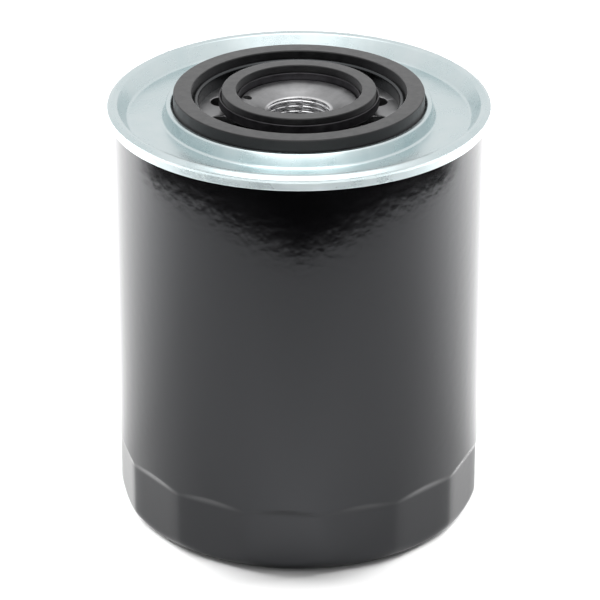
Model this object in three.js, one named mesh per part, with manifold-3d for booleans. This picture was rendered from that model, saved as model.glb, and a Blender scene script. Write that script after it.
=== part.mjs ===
// Spin-on oil filter with two sealing rings. It holds a full-flow element and a fine by-pass element.
// Millimetres, +Z up. The origin is the centre of the closed end's standing face; the thread is up.
import * as THREE from "three";
import { mergeVertices } from "three/addons/utils/BufferGeometryUtils.js";
import Module from "manifold-3d";

const wasm = await Module();
wasm.setup();

// ---- Driving dimensions ----
const GAP = 0.3; // left between pieces that touch
const SHEET = 0.7; // pressed steel of the can, the lid and the element caps
const BEND = 0.4; // how far a bend in the sheet cuts its corner
const OVERSHOOT = 1; // how far a cutter reaches past what it cuts

// Can
const CAN_RADIUS = 52.7;
const RIM_HEIGHT = 124; // standing face to the top of the rolled seam
const CAN_EDGE = 3.2; // height and depth of the rounded bottom edge
const RECESS_RADIUS = 33;
const RECESS_RISE = 1.2;
const RECESS_SLOPE = 2.5;

// Wrench flats at the closed end
const FLAT_COUNT = 15;
const FLAT_DEPTH = 1.05;
const FLAT_TOP = 19;
const FLAT_RUNOUT = 3.2;
const FLAT_TURN = 7.4; // degrees from -Y to the nearest corner

// Rolled seam and lid
const SEAM_OVERHANG = 1.3;
const SEAM_HEIGHT = 4.3;
const SEAM_CURL = 0.35;
const SEAM_ROUND = [1.4, 2.2]; // width and height of the rounding on its outer edge
const SEAM_WIDTH = 3.6; // skirt to the top edge of the seam's inner wall
const SEAM_INNER_SLOPE = 1.9;
const SEALANT_HEIGHT = 2.5;
const MOAT_DEPTH = 4.6;
const GROOVE_DEPTH = 2.5;
const RIDGE_WIDTH = 1.65;
const RIDGE_DROP = 0.6;
const RIDGE_SLOPE = 0.9; // how much wider its foot is than its crest
const LIP_WIDTH = 1.5;
const LIP_RISE = 0.5;

// Sealing rings
const GASKET_OUTER = 35.35;
const GASKET_INNER = 30.25;
const GASKET_PROUD = 2.6;
const GASKET_SPREAD = 0.2; // how much wider its foot is than its top
const GROOVE_CLEARANCE = 0.45;
const SMALL_GASKET_OUTER = 21.75;
const SMALL_GASKET_INNER = 17.65;
const SMALL_GASKET_PROUD = 3.2;
const SMALL_GASKET_HEIGHT = 3.7;
const GASKET_EDGE = 0.2; // chamfer on the sealing edges
const RETAINER_SHEET = 0.55;
const RETAINER_OUTER_RISE = 1.5;
const RETAINER_INNER_RISE = 1.1;
const STEM_WALL = 0.6;
const HUB_SHOULDER = 1.7; // width of the step that locates the stem

// Threaded base plate
const THREAD_MINOR = 8.8; // radius of the thread's crests
const THREAD_PITCH = 1.5875;
const THREAD_DEPTH = 0.725;
const THREAD_TURNS = 7;
const THREAD_LEAD = 0.5; // depth of the lead-in at its mouth
const THREAD_RUNOUT = 0.5; // turns cut past the boss's foot
const THREAD_STEPS = 12; // straight stretches in a turn
const MOUTH_DROP = 3.25;
const BOWL_DROP = 0.9;
const BOSS_WALL = 3.4;
const PLATE_THICKNESS = 6;
const PLATE_EDGE_CLEARANCE = 1.4;
const INLET_COUNT = 10;
const INLET_RADIUS = 3.6;
const STEM_OVER_INLET = 0.3; // how far the retainer's stem stands over the near side of the inlet holes
const BLEED_RADIUS = 1.3;
const BLEED_TURN = 166; // degrees from +X
const BLEED_WALL = 0.25;

// Anti-drain valve
const FLAP_CLEARANCE = 1.9; // from the bleed passage to the hub
const FLAP_HUB_WIDTH = 1.9;
const FLAP_HUB_HEIGHT = 3;
const FLAP_SEAL_OVERLAP = 4.6; // past the inlet holes' far side
const FLAP_THICKNESS = 1.6;
const FLAP_LIP_WIDTH = 1;
const FLAP_LIP_RISE = 1.4; // foot of the hub to the underside of the lip

// Elements
const ELEMENT_CLEARANCE = 9.2; // oil space between the can and the elements
const CAP_FLANGE = 2.6;
const POTTING = 1.5;
const FINE_LENGTH = 29.5; // over its end caps
const OUTLET_RECESS = 1; // foot of the outlet tube above the foot of the main cap's neck
const BLEED_PASSAGE = 1.8; // oil space round the outlet tube
const TUBE_WALL = 0.6;
const SEAL_THICKNESS = 3.2;
const SEAL_WIDTH = 6.5;
const MAIN_TUBE_RADIUS = 19.6;
const FINE_PLEATS = 36;
const MAIN_PLEATS = 30;
const PLEAT_FOLD = 4.2; // paper measured along the radius at a fold
const PERFORATION = 2.6;

// Relief valve
const VALVE_PORT = 6;
const NOZZLE_WALL = 1.2;
const NOZZLE_RISE = 1.1;
const SEAT_THICKNESS = 1.1;
const SEAT_FLANGE = 13.5;
const SPIGOT_WALL = 1.1;
const SPIGOT_RISE = 2.5;
const DISC_OVERLAP = 1.3;
const DISC_THICKNESS = 1;
const DISC_BOSS_HEIGHT = 1.7;
const DISC_CLEARANCE = 0.5;
const VALVE_SPRING_CLEARANCE = 2.3; // from the cage to the outside of the spring
const CAGE_HEIGHT = 16.2;
const CAGE_VENT = 3;
const CAGE_WINDOW = 6;
const CAGE_RIM = 4; // top of the windows to the top of the cage
const VALVE_WIRE = 1;
const VALVE_COILS = 5.5;
const VALVE_END_PITCH = 1.15;

// Support spring
const SUPPORT_HEIGHT = 16.1; // between the middles of the end coils
const SUPPORT_WIRE = 2.2;
const SUPPORT_COILS = 3.5;
const SUPPORT_END_PITCH = 2.42;
const SUPPORT_TOP_RADIUS = 22.8;
const SUPPORT_FOOT_RADIUS = 29;
const SPRING_SEAT_CLEARANCE = 0.5;
const SPRING_SEAT_COILS = 1.5; // coils at the head that its flange goes round
const SPRING_SEAT_FLANGE = 3;

// Fineness of the round pieces
const BIG_SIDES = 40;
const CAN_SIDES = 3 * FLAT_COUNT;
const MIDDLE_SIDES = 36;
const SMALL_SIDES = 24;
const HOLE_SIDES = 10;
const PERFORATION_SIDES = 6;
const WIRE_SIDES = 6;
const COIL_STEPS = 12; // straight stretches in a turn of a spring

// ---- Heights and radii that follow from them ----
const canInner = CAN_RADIUS - SHEET;
const skirtRadius = CAN_RADIUS + SEAM_OVERHANG;
const seamInner = skirtRadius - SEAM_WIDTH;
const grooveFloor = RIM_HEIGHT - GROOVE_DEPTH;
const grooveOuter = GASKET_OUTER + GROOVE_CLEARANCE;
const grooveInner = GASKET_INNER - GROOVE_CLEARANCE;
const lipInner = grooveInner - LIP_WIDTH;
const ridgeOuter = grooveOuter + RIDGE_WIDTH;
const plateTop = grooveFloor - SHEET - GAP;
const plateOuterTop = RIM_HEIGHT - MOAT_DEPTH - SHEET - GAP;
const plateUnder = plateTop - PLATE_THICKNESS;
const plateRadius = canInner - PLATE_EDGE_CLEARANCE;
const retainerInner = SMALL_GASKET_INNER - 2 * RETAINER_SHEET + GAP;
const retainerOuter = SMALL_GASKET_OUTER + GAP + RETAINER_SHEET;
const smallGasketFoot = RIM_HEIGHT + SMALL_GASKET_PROUD - SMALL_GASKET_HEIGHT;
const retainerFloor = smallGasketFoot - GAP - RETAINER_SHEET;
const hubRadius = retainerInner - GAP;
const hubShoulder = retainerFloor - GAP;
const shoulderRadius = hubRadius + HUB_SHOULDER;
const stemInner = shoulderRadius + GAP;
const inletCircle = stemInner + STEM_WALL - STEM_OVER_INLET + INLET_RADIUS;
const bossRadius = THREAD_MINOR + BOSS_WALL;
const mouthHeight = RIM_HEIGHT - MOUTH_DROP;
const threadTop = mouthHeight - THREAD_DEPTH;
const bossFoot = threadTop - THREAD_TURNS * THREAD_PITCH;
const bleedCircle = hubRadius - BLEED_WALL - BLEED_RADIUS;
const outletInner = bossRadius + GAP;
const outletOuter = outletInner + TUBE_WALL;
const elementRadius = canInner - ELEMENT_CLEARANCE;
const flapInner = outletOuter + BLEED_PASSAGE + FLAP_CLEARANCE;
const flapHubOuter = flapInner + FLAP_HUB_WIDTH;
const flapOuter = inletCircle + INLET_RADIUS + FLAP_SEAL_OVERLAP;
const flapTop = plateUnder - GAP;
const flapFoot = flapTop - FLAP_HUB_HEIGHT;
const fineTop = flapFoot - GAP;
const fineFoot = fineTop - FINE_LENGTH;
const fineTubeInner = outletOuter + BLEED_PASSAGE + SHEET + GAP;
const fineTubeOuter = fineTubeInner + TUBE_WALL;
const sealTop = fineFoot - GAP;
const mainTop = sealTop - SEAL_THICKNESS - GAP;
const recessFloor = RECESS_RISE + SHEET;
const springFoot = recessFloor + GAP + SUPPORT_WIRE / 2;
const springHead = springFoot + SUPPORT_HEIGHT;
const springSeatFoot = springHead + SUPPORT_WIRE / 2 + GAP;
const mainFoot = springSeatFoot + SHEET + GAP;
const mainTubeOuter = MAIN_TUBE_RADIUS + TUBE_WALL;
const seatTop = mainFoot - GAP;
const seatFoot = seatTop - SEAT_THICKNESS;
const nozzleTop = seatTop + NOZZLE_RISE;
const discRadius = VALVE_PORT + NOZZLE_WALL + DISC_OVERLAP;
const discFoot = nozzleTop + GAP;
const discTop = discFoot + DISC_THICKNESS;
const cageInner = discRadius + DISC_CLEARANCE;
const cageOuter = cageInner + TUBE_WALL;
const cageFoot = seatTop + GAP;
const cageTop = cageFoot + CAGE_HEIGHT;
const spigotInner = cageOuter + GAP;
const spigotOuter = spigotInner + SPIGOT_WALL;
const valveSpringRadius = cageInner - VALVE_SPRING_CLEARANCE - VALVE_WIRE / 2;

// ---- Ways of making a solid ----

// Turns a section of [radius, height] points, listed anticlockwise, round the Z axis.
function turned(section, sides) {
  const points = section.map(([r, z]) => new THREE.Vector2(r, z));
  const meetsAxis = section[0][0] === 0 && section.at(-1)[0] === 0;
  if (!meetsAxis) points.push(points[0].clone());
  return new THREE.LatheGeometry(points, sides).rotateX(Math.PI / 2);
}

function ring(inner, outer, foot, top, sides) {
  const section = [
    [inner, foot],
    [outer, foot],
    [outer, top],
    [inner, top],
  ];
  return turned(section, sides);
}

function solid(geometry) {
  const bare = geometry.clone();
  bare.deleteAttribute("normal");
  bare.deleteAttribute("uv");
  const merged = mergeVertices(bare, 1e-4);
  const mesh = new wasm.Mesh({
    numProp: 3,
    vertProperties: new Float32Array(merged.attributes.position.array),
    triVerts: new Uint32Array(merged.index.array),
  });
  return new wasm.Manifold(mesh);
}

function geometryOf(manifold) {
  const mesh = manifold.getMesh();
  const geometry = new THREE.BufferGeometry();
  geometry.setAttribute("position", new THREE.BufferAttribute(new Float32Array(mesh.vertProperties), 3));
  geometry.setIndex(new THREE.BufferAttribute(new Uint32Array(mesh.triVerts), 1));
  geometry.computeVertexNormals();
  return geometry;
}

function without(geometry, cutters) {
  return geometryOf(cutters.reduce((left, cutter) => left.subtract(solid(cutter)), solid(geometry)));
}

function uprightPin(radius, foot, top, circle, degrees) {
  const angle = THREE.MathUtils.degToRad(degrees);
  return new THREE.CylinderGeometry(radius, radius, top - foot, HOLE_SIDES)
    .rotateX(Math.PI / 2)
    .rotateZ(angle)
    .translate(circle * Math.cos(angle), circle * Math.sin(angle), (foot + top) / 2);
}

// A pin along a diameter, so that it makes two holes in a tube.
function crossPin(radius, length, height, degrees) {
  return new THREE.CylinderGeometry(radius, radius, length, PERFORATION_SIDES)
    .rotateZ(Math.PI / 2)
    .rotateZ(THREE.MathUtils.degToRad(degrees))
    .translate(0, 0, height);
}

// A helix whose radius may change from foot to head, with a flatter turn at each end.
class Coil extends THREE.Curve {
  constructor(footRadius, headRadius, foot, head, turns, endPitch) {
    super();
    Object.assign(this, { footRadius, headRadius, foot, head, turns, endPitch });
  }

  getPoint(t, target = new THREE.Vector3()) {
    const turn = t * this.turns;
    const active = this.turns - 2;
    const rise = this.head - this.foot;
    const activePitch = active > 0 ? (rise - 2 * this.endPitch) / active : 0;
    const low = Math.min(turn, 1) * this.endPitch;
    const high = Math.max(turn - this.turns + 1, 0) * this.endPitch;
    const middle = Math.min(Math.max(turn - 1, 0), active) * activePitch;
    const radius = THREE.MathUtils.lerp(this.footRadius, this.headRadius, t);
    const angle = 2 * Math.PI * turn;
    return target.set(radius * Math.cos(angle), radius * Math.sin(angle), this.foot + low + middle + high);
  }
}

// An even helix that keeps its section upright: x of the section points away from the axis.
class ThreadPath extends THREE.Curve {
  constructor(radius, foot, pitch, turns) {
    super();
    Object.assign(this, { radius, foot, pitch, turns });
  }

  getPoint(t, target = new THREE.Vector3()) {
    const angle = 2 * Math.PI * this.turns * t;
    const height = this.foot + this.pitch * this.turns * t;
    return target.set(this.radius * Math.cos(angle), this.radius * Math.sin(angle), height);
  }

  computeFrenetFrames(segments) {
    const frames = { tangents: [], normals: [], binormals: [] };
    for (let i = 0; i <= segments; i++) {
      const angle = (2 * Math.PI * this.turns * i) / segments;
      frames.tangents.push(new THREE.Vector3(-Math.sin(angle), Math.cos(angle), 0));
      frames.normals.push(new THREE.Vector3(Math.cos(angle), Math.sin(angle), 0));
      frames.binormals.push(new THREE.Vector3(0, 0, -1));
    }
    return frames;
  }
}

function swept(outline, path, steps) {
  const shape = new THREE.Shape(outline.map(([x, y]) => new THREE.Vector2(x, y)));
  return new THREE.ExtrudeGeometry(shape, { steps, extrudePath: path, bevelEnabled: false });
}

function wireSpring(wire, path) {
  const outline = [];
  for (let i = 0; i < WIRE_SIDES; i++) {
    const angle = (2 * Math.PI * i) / WIRE_SIDES;
    outline.push([(wire / 2) * Math.cos(angle), (wire / 2) * Math.sin(angle)]);
  }
  return swept(outline, path, Math.round(path.turns * COIL_STEPS));
}

// ---- Can, lid and what seals them ----

// Turned body of the can, with its flats cut by a many-sided one.
// Inset 0 is the outside of the sheet, and SHEET the inside.
function canBody(inset, top) {
  const radius = CAN_RADIUS - inset;
  const floor = inset;
  const edge = CAN_EDGE;
  const onEdge = [0.4 * edge, 0.2 * edge]; // a point of the rounding: in from the wall, up from the floor
  const round = [
    [0, RECESS_RISE + floor],
    [RECESS_RADIUS, RECESS_RISE + floor],
    [RECESS_RADIUS + RECESS_SLOPE, floor],
    [radius - edge, floor],
    [radius - onEdge[0], floor + onEdge[1]],
    [radius, floor + edge],
    [radius, top],
    [0, top],
  ];
  const corner = (radius - FLAT_DEPTH) / Math.cos(Math.PI / FLAT_COUNT);
  const clearOfFlats = corner + FLAT_DEPTH;
  const flats = [
    [0, -OVERSHOOT],
    [corner, -OVERSHOOT],
    [corner, FLAT_TOP],
    [clearOfFlats, FLAT_TOP + FLAT_RUNOUT],
    [clearOfFlats, top + OVERSHOOT],
    [0, top + OVERSHOOT],
  ];
  return solid(turned(round, CAN_SIDES)).intersect(solid(turned(flats, FLAT_COUNT)));
}

function can() {
  const top = RIM_HEIGHT - SHEET - GAP;
  const hollow = canBody(SHEET, top + OVERSHOOT);
  return geometryOf(canBody(0, top).subtract(hollow)).rotateZ(THREE.MathUtils.degToRad(FLAT_TURN));
}

function seamLid() {
  const top = RIM_HEIGHT;
  const skirtFoot = top - SEAM_HEIGHT;
  const moatFloor = top - MOAT_DEPTH;
  const moatOuter = seamInner - SEAM_INNER_SLOPE;
  const ridgeTop = top - RIDGE_DROP;
  const lipTop = top + LIP_RISE;
  const [roundWidth, roundHeight] = SEAM_ROUND;
  const section = [
    [lipInner, grooveFloor - SHEET],
    [ridgeOuter - BEND, grooveFloor - SHEET],
    [ridgeOuter + RIDGE_SLOPE - GAP, moatFloor - SHEET],
    [moatOuter + BEND / 2, moatFloor - SHEET],
    [seamInner + SHEET, top - SHEET],
    [skirtRadius - SHEET, top - SHEET],
    [skirtRadius - SHEET, skirtFoot + BEND],
    [CAN_RADIUS + SEAM_CURL, skirtFoot],
    [skirtRadius - BEND / 2, skirtFoot],
    [skirtRadius, skirtFoot + BEND],
    [skirtRadius, top - roundHeight],
    [skirtRadius - BEND * roundWidth, top - BEND * roundHeight],
    [skirtRadius - roundWidth, top],
    [seamInner + BEND, top],
    [seamInner, top - BEND],
    [moatOuter, moatFloor + BEND],
    [moatOuter - 2 * BEND, moatFloor],
    [ridgeOuter + RIDGE_SLOPE, moatFloor],
    [ridgeOuter, ridgeTop - BEND],
    [ridgeOuter - 2 * BEND, ridgeTop],
    [grooveOuter, ridgeTop - BEND],
    [grooveOuter, grooveFloor],
    [grooveInner, grooveFloor],
    [grooveInner, lipTop - BEND],
    [grooveInner - BEND, lipTop],
    [lipInner + BEND / 2, lipTop],
    [lipInner, lipTop - BEND / 2],
  ];
  return turned(section, BIG_SIDES);
}

function seamSealant() {
  const outer = canInner - GAP;
  const top = RIM_HEIGHT - SHEET - 2 * GAP;
  const foot = top - SEALANT_HEIGHT;
  const section = [
    [seamInner - SHEET + GAP, foot],
    [outer, foot],
    [outer, top],
    [seamInner + SHEET + GAP, top],
  ];
  return turned(section, BIG_SIDES);
}

function outerGasket() {
  const top = RIM_HEIGHT + GASKET_PROUD;
  const section = [
    [GASKET_INNER, grooveFloor + GAP],
    [GASKET_OUTER + GASKET_SPREAD, grooveFloor + GAP],
    [GASKET_OUTER, top - GASKET_EDGE],
    [GASKET_OUTER - GASKET_EDGE, top],
    [GASKET_INNER + GASKET_EDGE, top],
    [GASKET_INNER, top - GASKET_EDGE],
  ];
  return turned(section, BIG_SIDES);
}

function smallGasket() {
  const top = RIM_HEIGHT + SMALL_GASKET_PROUD;
  return ring(SMALL_GASKET_INNER, SMALL_GASKET_OUTER, smallGasketFoot, top, MIDDLE_SIDES);
}

function gasketRetainer() {
  const floorTop = retainerFloor + RETAINER_SHEET;
  const innerTop = RIM_HEIGHT + RETAINER_INNER_RISE;
  const outerTop = RIM_HEIGHT + RETAINER_OUTER_RISE;
  const section = [
    [retainerInner, retainerFloor],
    [stemInner, retainerFloor],
    [stemInner, plateTop + GAP],
    [stemInner + STEM_WALL, plateTop + GAP],
    [stemInner + STEM_WALL, retainerFloor],
    [retainerOuter, retainerFloor],
    [retainerOuter, outerTop],
    [retainerOuter - RETAINER_SHEET, outerTop],
    [retainerOuter - RETAINER_SHEET, floorTop],
    [retainerInner + RETAINER_SHEET, floorTop],
    [retainerInner + RETAINER_SHEET, innerTop],
    [retainerInner, innerTop],
  ];
  return turned(section, MIDDLE_SIDES);
}

// ---- Threaded base plate ----

function basePlate() {
  const bowlTop = RIM_HEIGHT - BOWL_DROP;
  const mouth = THREAD_MINOR + THREAD_DEPTH / 2;
  const bowlRise = bowlTop - mouthHeight;
  const bowlWidth = hubRadius - BEND - mouth;
  const bowlSteps = [0.84, 0.6, 0.32, 0.1]; // shares of its width, from the rim in
  const bowl = bowlSteps.map((share) => [
    mouth + share * bowlWidth,
    mouthHeight + bowlRise * Math.sin((share * Math.PI) / 2),
  ]);
  const section = [
    [THREAD_MINOR, bossFoot],
    [bossRadius, bossFoot],
    [bossRadius, plateUnder],
    [plateRadius, plateUnder],
    [plateRadius, plateOuterTop],
    [ridgeOuter + BEND, plateOuterTop],
    [ridgeOuter - 2 * BEND, plateTop],
    [shoulderRadius, plateTop],
    [shoulderRadius, hubShoulder],
    [hubRadius, hubShoulder],
    [hubRadius, bowlTop],
    [hubRadius - BEND, bowlTop],
    ...bowl,
    [mouth, mouthHeight],
    [THREAD_MINOR, mouthHeight - THREAD_LEAD],
  ];
  const cutters = [threadCutter()];
  const holeFoot = plateUnder - OVERSHOOT;
  for (let i = 0; i < INLET_COUNT; i++) {
    const degrees = ((i + 0.5) * 360) / INLET_COUNT;
    cutters.push(uprightPin(INLET_RADIUS, holeFoot, plateTop + OVERSHOOT, inletCircle, degrees));
  }
  cutters.push(uprightPin(BLEED_RADIUS, holeFoot, RIM_HEIGHT, bleedCircle, BLEED_TURN));
  return without(turned(section, MIDDLE_SIDES), cutters);
}

// The groove of a 60 degree thread, which runs out through the boss's foot.
function threadCutter() {
  const slope = Math.tan(Math.PI / 6);
  const inside = GAP; // how far the cutter starts inside the crests
  const crestHalf = (3 / 8) * THREAD_PITCH;
  const rootHalf = crestHalf - THREAD_DEPTH * slope;
  const outline = [
    [-inside, -crestHalf - inside * slope],
    [THREAD_DEPTH, -rootHalf],
    [THREAD_DEPTH, rootHalf],
    [-inside, crestHalf + inside * slope],
  ];
  const turns = THREAD_TURNS + THREAD_RUNOUT;
  const foot = threadTop - turns * THREAD_PITCH;
  return swept(outline, new ThreadPath(THREAD_MINOR, foot, THREAD_PITCH, turns), turns * THREAD_STEPS);
}

// ---- Valves, tubes and elements ----

function antiDrainFlap() {
  const section = [
    [flapInner, flapFoot],
    [flapHubOuter, flapFoot],
    [flapOuter, flapFoot + FLAP_LIP_RISE],
    [flapOuter, flapTop],
    [flapOuter - FLAP_LIP_WIDTH, flapTop],
    [flapHubOuter + BEND, flapFoot + FLAP_THICKNESS],
    [flapHubOuter, flapTop],
    [flapInner, flapTop],
  ];
  return turned(section, SMALL_SIDES);
}

// An end cap whose outer flange, and neck if it has one, point up or down from its plate.
function endCap(plateFoot, upwards, holeRadius, neck) {
  const back = upwards ? plateFoot : plateFoot + SHEET;
  const way = upwards ? 1 : -1;
  const face = back + way * SHEET;
  const flangeEnd = back + way * CAP_FLANGE;
  const outer = elementRadius;
  const section = [
    [holeRadius, back],
    [outer, back],
    [outer, flangeEnd],
    [outer - SHEET, flangeEnd],
    [outer - SHEET, face],
  ];
  if (neck) {
    section.push([holeRadius + SHEET, face], [holeRadius + SHEET, flangeEnd], [holeRadius, flangeEnd]);
  } else {
    section.push([holeRadius, face]);
  }
  return turned(upwards ? section : section.reverse(), SMALL_SIDES);
}

function potting(inner, foot) {
  return ring(inner + GAP, elementRadius - SHEET - GAP, foot, foot + POTTING, SMALL_SIDES);
}

// Paper folded into a star: each fold has the paper's full thickness along the radius.
function pleatedPaper(inner, pleats, foot, top) {
  const outer = elementRadius - SHEET - GAP;
  const star = (tip, valley) => {
    const points = [];
    for (let i = 0; i < 2 * pleats; i++) {
      const radius = i % 2 ? valley : tip;
      const angle = (Math.PI * i) / pleats;
      points.push(new THREE.Vector2(radius * Math.cos(angle), radius * Math.sin(angle)));
    }
    return points;
  };
  const shape = new THREE.Shape(star(outer, inner + PLEAT_FOLD));
  shape.holes.push(new THREE.Path(star(outer - PLEAT_FOLD, inner)));
  return new THREE.ExtrudeGeometry(shape, { depth: top - foot, bevelEnabled: false }).translate(0, 0, foot);
}

function perforatedTube(inner, foot, top, rows, pins) {
  const cutters = [];
  for (let row = 0; row < rows; row++) {
    const height = foot + ((row + 0.5) * (top - foot)) / rows;
    for (let i = 0; i < pins; i++) {
      const degrees = ((i + 0.5 * (row % 2)) * 180) / pins;
      cutters.push(crossPin(PERFORATION, 2 * (inner + TUBE_WALL + OVERSHOOT), height, degrees));
    }
  }
  return without(ring(inner, inner + TUBE_WALL, foot, top, SMALL_SIDES), cutters);
}

function outletTube() {
  const foot = mainTop - CAP_FLANGE + OUTLET_RECESS;
  return ring(outletInner, outletOuter, foot, plateUnder - 2 * GAP, SMALL_SIDES);
}

function betweenElementsSeal() {
  const inner = outletOuter + GAP;
  return ring(inner, inner + SEAL_WIDTH, sealTop - SEAL_THICKNESS, sealTop, SMALL_SIDES);
}

// ---- Relief valve in the main element's lower cap ----

function reliefSeat() {
  const section = [
    [VALVE_PORT, seatFoot],
    [SEAT_FLANGE, seatFoot],
    [SEAT_FLANGE, seatTop],
    [spigotOuter, seatTop],
    [spigotOuter, seatTop + SPIGOT_RISE],
    [spigotInner, seatTop + SPIGOT_RISE],
    [spigotInner, seatTop],
    [VALVE_PORT + NOZZLE_WALL, seatTop],
    [VALVE_PORT + NOZZLE_WALL, nozzleTop],
    [VALVE_PORT, nozzleTop],
  ];
  return turned(section, SMALL_SIDES);
}

function reliefDisc() {
  const boss = valveSpringRadius - VALVE_WIRE / 2 - DISC_CLEARANCE;
  const section = [
    [0, discFoot],
    [discRadius, discFoot],
    [discRadius, discTop],
    [boss, discTop],
    [boss, discTop + DISC_BOSS_HEIGHT],
    [0, discTop + DISC_BOSS_HEIGHT],
  ];
  return turned(section, SMALL_SIDES);
}

function reliefCage() {
  const section = [
    [cageInner, cageFoot],
    [cageOuter, cageFoot],
    [cageOuter, cageTop],
    [CAGE_VENT, cageTop],
    [CAGE_VENT, cageTop - SHEET],
    [cageInner, cageTop - SHEET],
  ];
  const windowFoot = cageFoot + SPIGOT_RISE + DISC_THICKNESS;
  const windowTop = cageTop - CAGE_RIM;
  const window = (turn) =>
    new THREE.BoxGeometry(2 * (cageOuter + OVERSHOOT), CAGE_WINDOW, windowTop - windowFoot)
      .rotateZ(turn)
      .translate(0, 0, (windowFoot + windowTop) / 2);
  return without(turned(section, SMALL_SIDES), [window(0), window(Math.PI / 2)]);
}

function reliefSpring() {
  const foot = discTop + GAP + VALVE_WIRE / 2;
  const head = cageTop - SHEET - GAP - VALVE_WIRE / 2;
  const path = new Coil(valveSpringRadius, valveSpringRadius, foot, head, VALVE_COILS, VALVE_END_PITCH);
  return wireSpring(VALVE_WIRE, path);
}

// ---- Support spring and its seat ----

function springSeat() {
  const inner = SEAT_FLANGE + SPRING_SEAT_CLEARANCE;
  const taperPerTurn = (SUPPORT_FOOT_RADIUS - SUPPORT_TOP_RADIUS) / SUPPORT_COILS;
  const lastCoil = SUPPORT_TOP_RADIUS + SPRING_SEAT_COILS * taperPerTurn;
  const flangeInner = lastCoil + SUPPORT_WIRE / 2 + SPRING_SEAT_CLEARANCE;
  const top = springSeatFoot + SHEET;
  const section = [
    [inner, springSeatFoot],
    [flangeInner, springSeatFoot],
    [flangeInner, springSeatFoot - SPRING_SEAT_FLANGE],
    [flangeInner + SHEET, springSeatFoot - SPRING_SEAT_FLANGE],
    [flangeInner + SHEET, top],
    [inner, top],
  ];
  return turned(section, SMALL_SIDES);
}

function supportSpring() {
  const path = new Coil(
    SUPPORT_FOOT_RADIUS,
    SUPPORT_TOP_RADIUS,
    springFoot,
    springHead,
    SUPPORT_COILS,
    SUPPORT_END_PITCH,
  );
  return wireSpring(SUPPORT_WIRE, path);
}

// ---- Finishes ----
const finish = (color, roughness, metalness) =>
  new THREE.MeshStandardMaterial({ color, roughness, metalness });
const finishes = {
  blackPaint: () => finish(0x0b0b0d, 0.22, 0),
  zinc: () => finish(0xd5dde0, 0.3, 0.9),
  plainSteel: () => finish(0xa9a9ab, 0.38, 1),
  darkSteel: () => finish(0x4a4a4e, 0.45, 0.9),
  springSteel: () => finish(0x77797c, 0.35, 1),
  rubber: () => finish(0x26262a, 0.75, 0),
  sealant: () => finish(0xc9c2a8, 0.8, 0),
  adhesive: () => finish(0xb9462f, 0.6, 0),
  paper: () => finish(0xd9b877, 0.9, 0),
};

// ---- Assembly ----
const filter = new THREE.Group();

function add(name, geometry, material) {
  const mesh = new THREE.Mesh(geometry, material);
  mesh.name = name;
  filter.add(mesh);
}

add("can", can(), finishes.blackPaint());
add("seam_lid", seamLid(), finishes.zinc());
add("seam_sealant", seamSealant(), finishes.sealant());
add("base_plate", basePlate(), finishes.plainSteel());
add("outer_gasket", outerGasket(), finishes.rubber());
add("inner_gasket_retainer", gasketRetainer(), finishes.darkSteel());
add("inner_gasket", smallGasket(), finishes.rubber());
add("anti_drain_flap", antiDrainFlap(), finishes.rubber());
add("outlet_tube", outletTube(), finishes.plainSteel());

const pottingInCap = SHEET + GAP;
const paperInCap = pottingInCap + POTTING + GAP;

const finePaperInner = fineTubeOuter + GAP;
const fineNeckHole = outletOuter + BLEED_PASSAGE;
add("fine_upper_cap", endCap(fineTop - SHEET, false, fineNeckHole, true), finishes.zinc());
add("fine_upper_potting", potting(fineTubeOuter, fineTop - pottingInCap - POTTING), finishes.adhesive());
add(
  "fine_pleated_paper",
  pleatedPaper(finePaperInner, FINE_PLEATS, fineFoot + paperInCap, fineTop - paperInCap),
  finishes.paper(),
);
add(
  "fine_centre_tube",
  perforatedTube(fineTubeInner, fineFoot + pottingInCap, fineTop - pottingInCap, 2, 3),
  finishes.plainSteel(),
);
add("fine_lower_potting", potting(fineTubeOuter, fineFoot + pottingInCap), finishes.adhesive());
add("fine_lower_cap", endCap(fineFoot, true, outletOuter + GAP, true), finishes.zinc());
add("between_elements_seal", betweenElementsSeal(), finishes.rubber());

add("main_upper_cap", endCap(mainTop - SHEET, false, outletOuter + GAP, true), finishes.zinc());
add("main_upper_potting", potting(mainTubeOuter, mainTop - pottingInCap - POTTING), finishes.adhesive());
add(
  "main_pleated_paper",
  pleatedPaper(mainTubeOuter + GAP, MAIN_PLEATS, mainFoot + paperInCap, mainTop - paperInCap),
  finishes.paper(),
);
add(
  "main_centre_tube",
  perforatedTube(MAIN_TUBE_RADIUS, mainFoot + pottingInCap, mainTop - pottingInCap, 4, 3),
  finishes.plainSteel(),
);
add("main_lower_potting", potting(mainTubeOuter, mainFoot + pottingInCap), finishes.adhesive());
add("main_lower_cap", endCap(mainFoot, true, spigotOuter + GAP, false), finishes.zinc());

add("relief_valve_seat", reliefSeat(), finishes.plainSteel());
add("relief_valve_disc", reliefDisc(), finishes.darkSteel());
add("relief_valve_spring", reliefSpring(), finishes.springSteel());
add("relief_valve_cage", reliefCage(), finishes.zinc());
add("support_spring_seat", springSeat(), finishes.zinc());
add("support_spring", supportSpring(), finishes.springSteel());

export default filter;
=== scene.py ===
"""Spin-on oil filter: fine pieces, finishes and a small studio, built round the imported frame."""

import math

import bmesh
import bpy
from bpy.props import FloatProperty, FloatVectorProperty, IntProperty, PointerProperty
from mathutils import Matrix, Vector


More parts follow.
